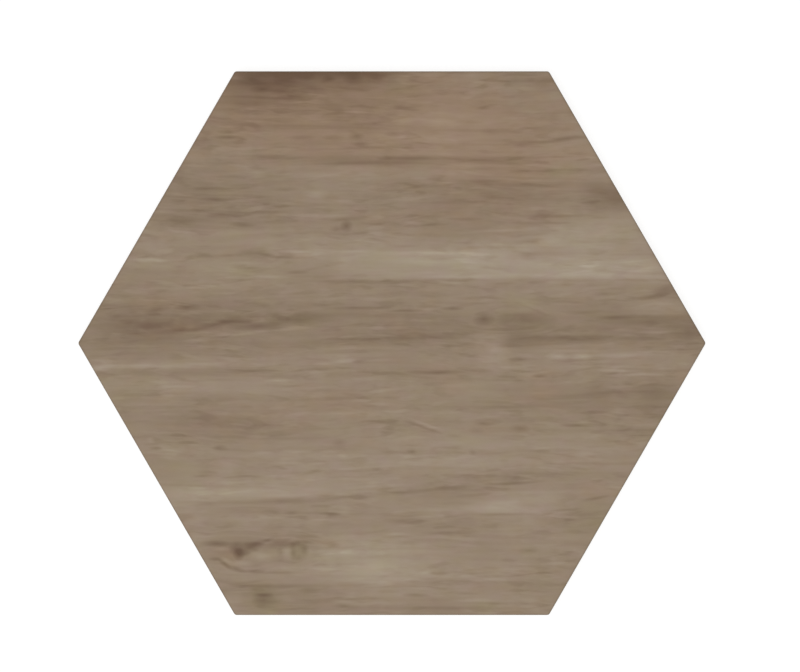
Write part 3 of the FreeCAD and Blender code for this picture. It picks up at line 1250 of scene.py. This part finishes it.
@dataclass(frozen=True)
class Form:
    """The tile's outline and profile in millimetres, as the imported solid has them."""

    flat_to_flat: float = 240.0
    thickness: float = 9.5
    corner_radius: float = 1.5
    face_arris: float = 1.0
    land_height: float = 4.5
    skirt_setback: float = 0.9
    back_arris: float = 0.4
    steps_per_side: int = 120
    corner_steps: int = 2
    arris_steps: int = 5
    skirt_steps: int = 3

    @property
    def core(self) -> float:
        """The apothem of the hexagon that the corners' arcs are centred on."""
        return self.flat_to_flat / 2.0 - self.corner_radius

    def ray(self, angle: float, length: float) -> np.ndarray:
        """A point at an angle and a distance from the middle."""
        return np.array([math.cos(angle), math.sin(angle)]) * length

    def outline(self, reach: float) -> np.ndarray:
        """Walks round the tile outside the core hexagon, from the middle of the corner on +X.

        Args:
            reach: The distance.

        Returns:
            The points, counter-clockwise.
        """
        corner_reach = self.core / FLAT_SHARE
        straight = self.steps_per_side - 2 * self.corner_steps
        points = []
        for side in range(SIDES):
            start = self.ray(SECTOR * side, corner_reach)
            end = self.ray(SECTOR * (side + 1), corner_reach)
            for step in range(self.steps_per_side):
                share = min(max((step - self.corner_steps) / straight, 0.0), 1.0)
                turn = min(step / self.corner_steps, 1.0)
                left = min((self.steps_per_side - step) / self.corner_steps, 1.0)
                angle = SECTOR * (side + 0.5 + (turn - left) / 2.0)
                points.append(start + (end - start) * share + self.ray(angle, reach))
        return np.array(points)

    def walked(self) -> np.ndarray:
        """Measures how far each step of one side lies from the corner's middle, along the land."""
        land = self.outline(self.corner_radius)[: self.steps_per_side + 1]
        return np.concatenate([[0.0], np.cumsum(np.linalg.norm(np.diff(land, axis=0), axis=1))])

    def upper_profile(self) -> list[Numbers]:
        """The arris from the face down: reach, height and the reach when it is rolled out flat."""
        start = self.corner_radius - self.face_arris
        profile = []
        for step in range(self.arris_steps + 1):
            angle = math.pi / 2.0 * step / self.arris_steps
            profile.append(
                (
                    start + self.face_arris * math.sin(angle),
                    self.thickness - self.face_arris * (1.0 - math.cos(angle)),
                    start + self.face_arris * angle,
                )
            )
        return profile

    def lower_profile(self) -> list[Numbers]:
        """The land, skirt and bevel from the arris down: reach and height."""
        land_foot = self.thickness - self.land_height
        lean = math.atan2(self.skirt_setback, land_foot)
        skirt_foot = self.back_arris * math.cos(lean)
        skirt_in = self.skirt_setback - self.back_arris * math.sin(lean)
        profile = [
            (self.corner_radius, self.thickness - self.face_arris),
            (self.corner_radius, (self.thickness - self.face_arris + land_foot) / 2.0),
        ]
        for step in range(self.skirt_steps + 1):
            share = step / self.skirt_steps
            height = land_foot + (skirt_foot - land_foot) * share
            profile.append((self.corner_radius - skirt_in * share, height))
        profile.append((self.corner_radius - self.skirt_setback - self.back_arris, 0.0))
        return profile


@dataclass(frozen=True)
class Face:
    """The printed face: concentric hexagons of triangles, hardly wavy, as a fired face is."""

    form: Form
    spot: MapSpot
    waves: tuple[tuple[float, float, float], ...] = ((70.0, 9.0, 0.022), (30.0, 3.4, 0.012))
    wave_apart: float = 7.3
    edge_fade: float = 5.0

    def depth(self, x: float, y: float, rim: float) -> float:
        """Works out how far the face lies below its highest plane.

        Args:
            x: The place along the grain.
            y: The place across it.
            rim: How far inside the face's edge the place is.

        Returns:
            The depth in millimetres.
        """
        fade = min(rim / self.edge_fade, 1.0)
        total = 0.0
        for number, (along, across, depth) in enumerate(self.waves):
            sample = Vector((x / along, y / across, number * self.wave_apart))
            total += depth * (1.0 + noise.noise(sample))
        return max(total, 0.0) * fade * fade * (3.0 - 2.0 * fade)

    def build(self, stock: MeshStock) -> list[int]:
        """Builds the face.

        Args:
            stock: Where its points and faces go.

        Returns:
            The points of its edge, counter-clockwise.
        """
        form = self.form
        rings = form.steps_per_side
        start = form.corner_radius - form.face_arris
        apothem = form.core + start
        flat = [(0.0, 0.0)]
        for ring in range(1, rings):
            reach = apothem / FLAT_SHARE * ring / rings
            for side in range(SIDES):
                here = form.ray(SECTOR * side, reach)
                step = (form.ray(SECTOR * (side + 1), reach) - here) / ring
                flat.extend(tuple(here + step * place) for place in range(ring))
        rims = [apothem]
        for ring in range(1, rings):
            rims.extend([apothem * (1.0 - ring / rings)] * (SIDES * ring))
        flat.extend(tuple(point) for point in form.outline(start))
        rims.extend([0.0] * (SIDES * rings))

        numbers = stock.add_points(
            (x, y, form.thickness - self.depth(x, y, rim)) for (x, y), rim in zip(flat, rims)
        )
        for ring in range(1, rings + 1):
            for side in range(SIDES):
                for place in range(ring):
                    outer = self.number(ring, side, place)
                    outer_next = self.number(ring, side, place + 1)
                    inner = self.number(ring - 1, side, place)
                    self.add_triangle(stock, flat, (outer, outer_next, inner))
                    if place < ring - 1:
                        inner_next = self.number(ring - 1, side, place + 1)
                        self.add_triangle(stock, flat, (inner, outer_next, inner_next))
        return numbers[-SIDES * rings :]

    def number(self, ring: int, side: int, place: int) -> int:
        """The number of a point by its ring, side and place along that side."""
        if ring == 0:
            return 0
        return 1 + 3 * ring * (ring - 1) + (side * ring + place) % (SIDES * ring)

    def add_triangle(self, stock: MeshStock, flat: list[Numbers], corners: tuple[int, ...]) -> None:
        """Adds one triangle of the face.

        Args:
            stock: Where it goes.
            flat: The face's points seen from above.
            corners: Its corners.
        """
        stock.add_face(corners, [self.spot.at(*flat[corner]) for corner in corners], Finish.PRINT)


@dataclass(frozen=True)
class Rim:
    """The edge all round: the arris, the upright land, the leaning skirt and the bevel."""

    form: Form
    face_spot: MapSpot
    side_spot: MapSpot
    side_step: float

    def build(self, stock: MeshStock, edge: list[int]) -> list[int]:
        """Builds the edge down from the face.

        Args:
            stock: Where its points and faces go.
            edge: The points of the face's edge.

        Returns:
            The points of its foot, counter-clockwise.
        """
        form = self.form
        upper = form.upper_profile()
        above = edge
        for (_, _, flat_above), (reach, height, flat_reach) in zip(upper, upper[1:]):
            below = stock.add_points((x, y, height) for x, y in form.outline(reach))
            places_above = [self.face_spot.at(x, y) for x, y in form.outline(flat_above)]
            places_below = [self.face_spot.at(x, y) for x, y in form.outline(flat_reach)]
            for here in range(len(below)):
                after = (here + 1) % len(below)
                stock.add_face(
                    (above[here], below[here], below[after], above[after]),
                    (places_above[here], places_below[here], places_below[after], places_above[after]),
                    Finish.PRINT,
                )
            above = below

        walked = form.walked()
        lower = form.lower_profile()
        deep = 0.0
        for (reach_above, height_above), (reach, height) in zip(lower, lower[1:]):
            deeper = deep + math.hypot(reach_above - reach, height_above - height)
            below = stock.add_points((x, y, height) for x, y in form.outline(reach))
            for here in range(len(below)):
                side, step = divmod(here, form.steps_per_side)
                after = (here + 1) % len(below)
                lane = side * self.side_step
                left, right = walked[step], walked[step + 1]
                stock.add_face(
                    (above[here], below[here], below[after], above[after]),
                    (
                        self.side_spot.at(left, lane - deep),
                        self.side_spot.at(left, lane - deeper),
                        self.side_spot.at(right, lane - deeper),
                        self.side_spot.at(right, lane - deep),
                    ),
                    Finish.FIRED_BODY,
                )
            above, deep = below, deeper
        return above


@dataclass(frozen=True)
class KeyedBack:
    """The back: a honeycomb of shallow cells with sloping walls inside a plain rim."""

    form: Form
    spot: MapSpot
    rim_width: float = 4.0
    rib_width: float = 3.0
    cell_rings: int = 6
    key_depth: float = 0.6
    cell_draft: float = 40.0
    corner_round: float = 0.9
    lip: float = 0.15

    @property
    def pitch(self) -> float:
        """The distance between neighbouring cells, so that their rings fill the back up to its rim."""
        form = self.form
        room = form.flat_to_flat / 2.0 - form.skirt_setback - form.back_arris - self.rim_width
        room += self.rib_width / 2.0 / FLAT_SHARE
        return room / (self.cell_rings * FLAT_SHARE + 0.5 / FLAT_SHARE)

    def middles(self) -> list[np.ndarray]:
        """Lists the middles of the cells."""
        found = []
        for row in range(-self.cell_rings, self.cell_rings + 1):
            in_row = 2 * self.cell_rings + 1 - abs(row)
            for place in range(in_row):
                across = (place - (in_row - 1) / 2.0) * self.pitch
                found.append(np.array([across, row * self.pitch * FLAT_SHARE]))
        return found

    def ring(self, middle: np.ndarray, apothem: float, height: float) -> list[Numbers]:
        """Goes round one cell: three points at each of its rounded corners.

        Args:
            middle: The cell's middle.
            apothem: From the middle to a side.
            height: How high the ring lies.

        Returns:
            The points, counter-clockwise.
        """
        centre_reach = (apothem - self.corner_round) / FLAT_SHARE
        points = []
        for corner in range(SIDES):
            angle = SECTOR * (corner + 0.5)
            for turn in (-0.5, 0.0, 0.5):
                arc = self.form.ray(angle + turn * SECTOR, self.corner_round)
                x, y = middle + self.form.ray(angle, centre_reach) + arc
                points.append((x, y, height))
        return points

    def levels(self) -> list[Numbers]:
        """Lists the cell's rings from its mouth to its floor: apothem and height."""
        draft = math.radians(self.cell_draft)
        mouth = (self.pitch - self.rib_width) / 2.0
        floor = mouth - self.key_depth * math.tan(draft)
        run, drop = self.lip * math.sin(draft), self.lip * math.cos(draft)
        return [
            (mouth + self.lip, 0.0),
            (mouth - run, drop),
            (floor + run, self.key_depth - drop),
            (floor - self.lip, self.key_depth),
        ]

    def build(self, stock: MeshStock, edge: list[int]) -> None:
        """Builds the back.

        Args:
            stock: Where its points and faces go.
            edge: The points of the rim's foot.
        """
        shared: dict[tuple[int, int], int] = {}
        borders: dict[tuple[int, int], bool] = {}
        for middle in self.middles():
            posts = []
            for corner in range(SIDES):
                x, y = middle + self.form.ray(SECTOR * (corner + 0.5), self.pitch / 2.0 / FLAT_SHARE)
                key = (round(2.0 * x / self.pitch), round(4.0 * FLAT_SHARE * y / self.pitch))
                if key not in shared:
                    shared[key] = stock.add_points([(x, y, 0.0)])[0]
                posts.append(shared[key])
            for here, after in zip(posts, posts[1:] + posts[:1]):
                borders[here, after] = (after, here) not in borders
                if not borders[here, after]:
                    borders[after, here] = False
            self.build_cell(stock, middle, posts)
        self.build_rim(stock, edge, [pair for pair, lone in borders.items() if lone])

    def add_down(self, stock: MeshStock, corners: Sequence[int]) -> None:
        """Adds a face that looks down, from corners that go counter-clockwise as seen from above."""
        turned = tuple(reversed(corners))
        places = [self.spot.at(*stock.points[corner][:2]) for corner in turned]
        stock.add_face(turned, places, Finish.KEYED_BACK)

    def build_cell(self, stock: MeshStock, middle: np.ndarray, posts: list[int]) -> None:
        """Builds one cell with its share of the ribs.

        Args:
            stock: Where its points and faces go.
            middle: The cell's middle.
            posts: The points in the ribs' middles where three cells meet.
        """
        rings = [stock.add_points(self.ring(middle, *level)) for level in self.levels()]
        mouth, floor = rings[0], rings[-1]
        for corner in range(SIDES):
            first, middle_point, last = mouth[3 * corner : 3 * corner + 3]
            following = mouth[(3 * corner + 3) % len(mouth)]
            post, next_post = posts[corner], posts[(corner + 1) % SIDES]
            self.add_down(stock, (post, middle_point, first))
            self.add_down(stock, (post, last, middle_point))
            self.add_down(stock, (post, next_post, following, last))
        for outer, inner in zip(rings, rings[1:]):
            for here in range(len(outer)):
                after = (here + 1) % len(outer)
                self.add_down(stock, (outer[here], outer[after], inner[after], inner[here]))
        (hub,) = stock.add_points([(*middle, self.key_depth)])
        for here in range(len(floor)):
            self.add_down(stock, (floor[here], floor[(here + 1) % len(floor)], hub))

    def build_rim(self, stock: MeshStock, edge: list[int], border: list[tuple[int, int]]) -> None:
        """Fills the plain rim between the cells and the tile's foot.

        Args:
            stock: Where its faces go.
            edge: The points of the foot.
            border: The honeycomb's outer edges, counter-clockwise round it.
        """
        numbers = edge + sorted({number for pair in border for number in pair})
        local = {number: index for index, number in enumerate(numbers)}
        flat = [Vector(stock.points[number][:2]) for number in numbers]
        pairs = [(index, (index + 1) % len(edge)) for index in range(len(edge))]
        pairs += [(local[here], local[after]) for here, after in border]
        inside_only = 1
        _, _, triangles, came_from, *_ = delaunay_2d_cdt(flat, pairs, [], inside_only, TOLERANCE)
        middles = np.array(self.middles())
        for triangle in triangles:
            corners = [numbers[came_from[index][0]] for index in triangle]
            centre = np.mean([stock.points[corner][:2] for corner in corners], axis=0)
            away = np.abs(middles - centre)
            reach = np.maximum(away[:, 0], away[:, 0] * 0.5 + away[:, 1] * FLAT_SHARE)
            if reach.min() > self.pitch / 2.0:
                self.add_down(stock, corners)


@dataclass(frozen=True)
class Tile:
    """The whole tile, which is one piece."""

    form: Form = Form()
    face_share: float = 0.82
    back_share: float = 0.305
    side_share: float = 0.61
    lane_top: float = 0.9
    margin: float = 0.008
    crease: float = 30.0

    def build(self) -> bpy.types.Object:
        """Builds the tile's mesh.

        Returns:
            The piece.
        """
        form = self.form
        rolled = form.upper_profile()[-1][2]
        width = 2.0 * (form.core / FLAT_SHARE + rolled)
        face_scale = self.face_share / width
        back_scale = self.back_share / width
        side_scale = self.side_share / (width / 2.0)
        face_high = 2.0 * (form.core + rolled) * face_scale
        back_high = 2.0 * (form.core + rolled) * back_scale
        face_spot = MapSpot(
            self.margin + self.face_share / 2.0, self.margin + face_high / 2.0, face_scale
        )
        back_spot = MapSpot(
            self.margin + self.back_share / 2.0, 1.0 - self.margin - back_high / 2.0, back_scale
        )
        side_left = 3.0 * self.margin + self.back_share
        side_high = 1.0 - face_high - 2.0 * self.margin
        lane = side_high / SIDES
        first_lane = face_high + 2.0 * self.margin + lane * self.lane_top
        side_spot = MapSpot(side_left, first_lane, side_scale)

        stock = MeshStock()
        edge = Face(form, face_spot).build(stock)
        foot = Rim(form, face_spot, side_spot, lane / side_scale).build(stock, edge)
        KeyedBack(form, back_spot).build(stock, foot)
        return stock.bake("tile_body", self.crease)

    def dress(self, piece: bpy.types.Object, shop: Paintshop) -> None:
        """Gives the piece its materials and its place in the frame.

        Args:
            piece: The tile.
            shop: Where its materials come from.
        """
        materials = shop.materials()
        for finish in Finish:
            piece.data.materials.append(materials[finish])
        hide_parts(NODE)
        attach(piece, BODY)


@dataclass(frozen=True)
class Studio:
    """The white floor, the soft light and the camera straight above the tile."""

    floor_half: float = 6.0
    floor_gap: float = 0.1 * MM
    floor_albedo: float = 0.25
    floor_glow: float = 0.82
    sky: float = 0.67
    key_power: float = 23.9
    key_size: float = 1.6
    key_place: Numbers = (-0.45, -0.70, 2.6)
    lens: float = 200.0
    sensor: float = 36.0
    far: float = 50.0
    frame_dots: float = 800.0
    tile_left: float = 8.1
    tile_low: float = 7.15
    face_height: float = 9.5 * MM

    def seen(self, graph: Graph) -> Wire:
        """Tells rays that show the background from rays that carry light.

        Args:
            graph: Where the nodes go.

        Returns:
            1 for camera, glossy and transmission rays, and 0 for the rest.
        """
        path = graph.node("ShaderNodeLightPath")
        names = ("Is Camera Ray", "Is Glossy Ray", "Is Transmission Ray")
        camera, glossy, through = (Wire(graph, path.outputs[name]) for name in names)
        return graph.math("MAXIMUM", graph.math("MAXIMUM", camera, glossy), through)

    def build_world(self) -> None:
        """Makes the even sky, which shows as plain white."""
        world = bpy.data.worlds.new("studio")
        bpy.context.scene.world = world
        world.use_nodes = True
        world.node_tree.nodes.clear()
        graph = Graph(world.node_tree)
        strength = self.seen(graph) * (1.0 - self.sky) + self.sky
        light = graph.wire(
            "ShaderNodeBackground", None, {"Color": (1.0, 1.0, 1.0, 1.0), "Strength": strength}
        )
        graph.node("ShaderNodeOutputWorld", None, {"Surface": light})

    def build_floor(self) -> bpy.types.Object:
        """Makes the white floor, which keeps the tile's shadow and can be looked through from below.

        Returns:
            The floor.
        """
        half = self.floor_half
        mesh = bpy.data.meshes.new("floor")
        corners = [(-half, -half, 0.0), (half, -half, 0.0), (half, half, 0.0), (-half, half, 0.0)]
        mesh.from_pydata(corners, [], [(0, 1, 2, 3)])
        floor = bpy.data.objects.new("floor", mesh)
        floor.location.z = -self.floor_gap
        bpy.context.scene.collection.objects.link(floor)

        material = bpy.data.materials.new("floor_paint")
        material.use_nodes = True
        material.node_tree.nodes.clear()
        graph = Graph(material.node_tree)
        grey = (self.floor_albedo,) * 3 + (1.0,)
        lit = graph.wire("ShaderNodeBsdfDiffuse", None, {"Color": grey})
        glow = graph.wire("ShaderNodeEmission", None, {"Strength": self.seen(graph) * self.floor_glow})
        paint = graph.wire("ShaderNodeAddShader", None, {"Shader": lit, "Shader_001": glow})
        below = graph.wire("ShaderNodeNewGeometry", None, None, "Backfacing")
        soft = graph.wire("ShaderNodeLightPath", None, None, "Is Diffuse Ray")
        clear = graph.wire("ShaderNodeBsdfTransparent")
        surface = graph.wire(
            "ShaderNodeMixShader",
            None,
            {"Fac": graph.math("MAXIMUM", below, soft), "Shader": paint, "Shader_001": clear},
        )
        graph.node("ShaderNodeOutputMaterial", None, {"Surface": surface})
        mesh.materials.append(material)
        return floor

    def build_lamp(self) -> bpy.types.Object:
        """Hangs the soft key lamp.

        Returns:
            The lamp.
        """
        lamp = bpy.data.lights.new("key", "AREA")
        lamp.shape = "SQUARE"
        lamp.size = self.key_size
        lamp.energy = self.key_power
        holder = bpy.data.objects.new("key", lamp)
        holder.location = self.key_place
        holder.rotation_euler = (-Vector(self.key_place)).to_track_quat("-Z", "Y").to_euler()
        bpy.context.scene.collection.objects.link(holder)
        return holder

    def build_camera(self) -> bpy.types.Object:
        """Sets the camera up straight above the tile, in the photograph's frame.

        Returns:
            The camera.
        """
        data = bpy.data.cameras.new("camera")
        data.lens = self.lens
        data.sensor_width = self.sensor
        data.clip_end = self.far
        camera = bpy.data.objects.new("camera", data)
        width = self.frame_dots / DOTS_PER_METRE
        distance = width * self.lens / self.sensor
        camera.location = (
            self.tile_left / DOTS_PER_METRE,
            self.tile_low / DOTS_PER_METRE,
            self.face_height + distance,
        )
        bpy.context.scene.collection.objects.link(camera)
        bpy.context.scene.camera = camera
        return camera


def main() -> None:
    """Builds the tile and the studio round it."""
    logging.basicConfig(level=logging.INFO, format="%(name)s: %(message)s")
    scene = bpy.context.scene
    scene.view_settings.view_transform = "Standard"

    studio = Studio()
    for thing in (studio.build_camera(), studio.build_lamp(), studio.build_floor()):
        log.info("placed %s", thing.name)
    studio.build_world()

    tile = Tile()
    piece = tile.build()
    tile.dress(piece, Paintshop())
    log.info("built %s with %d faces", piece.name, len(piece.data.polygons))


if __name__ == "__main__":
    main()
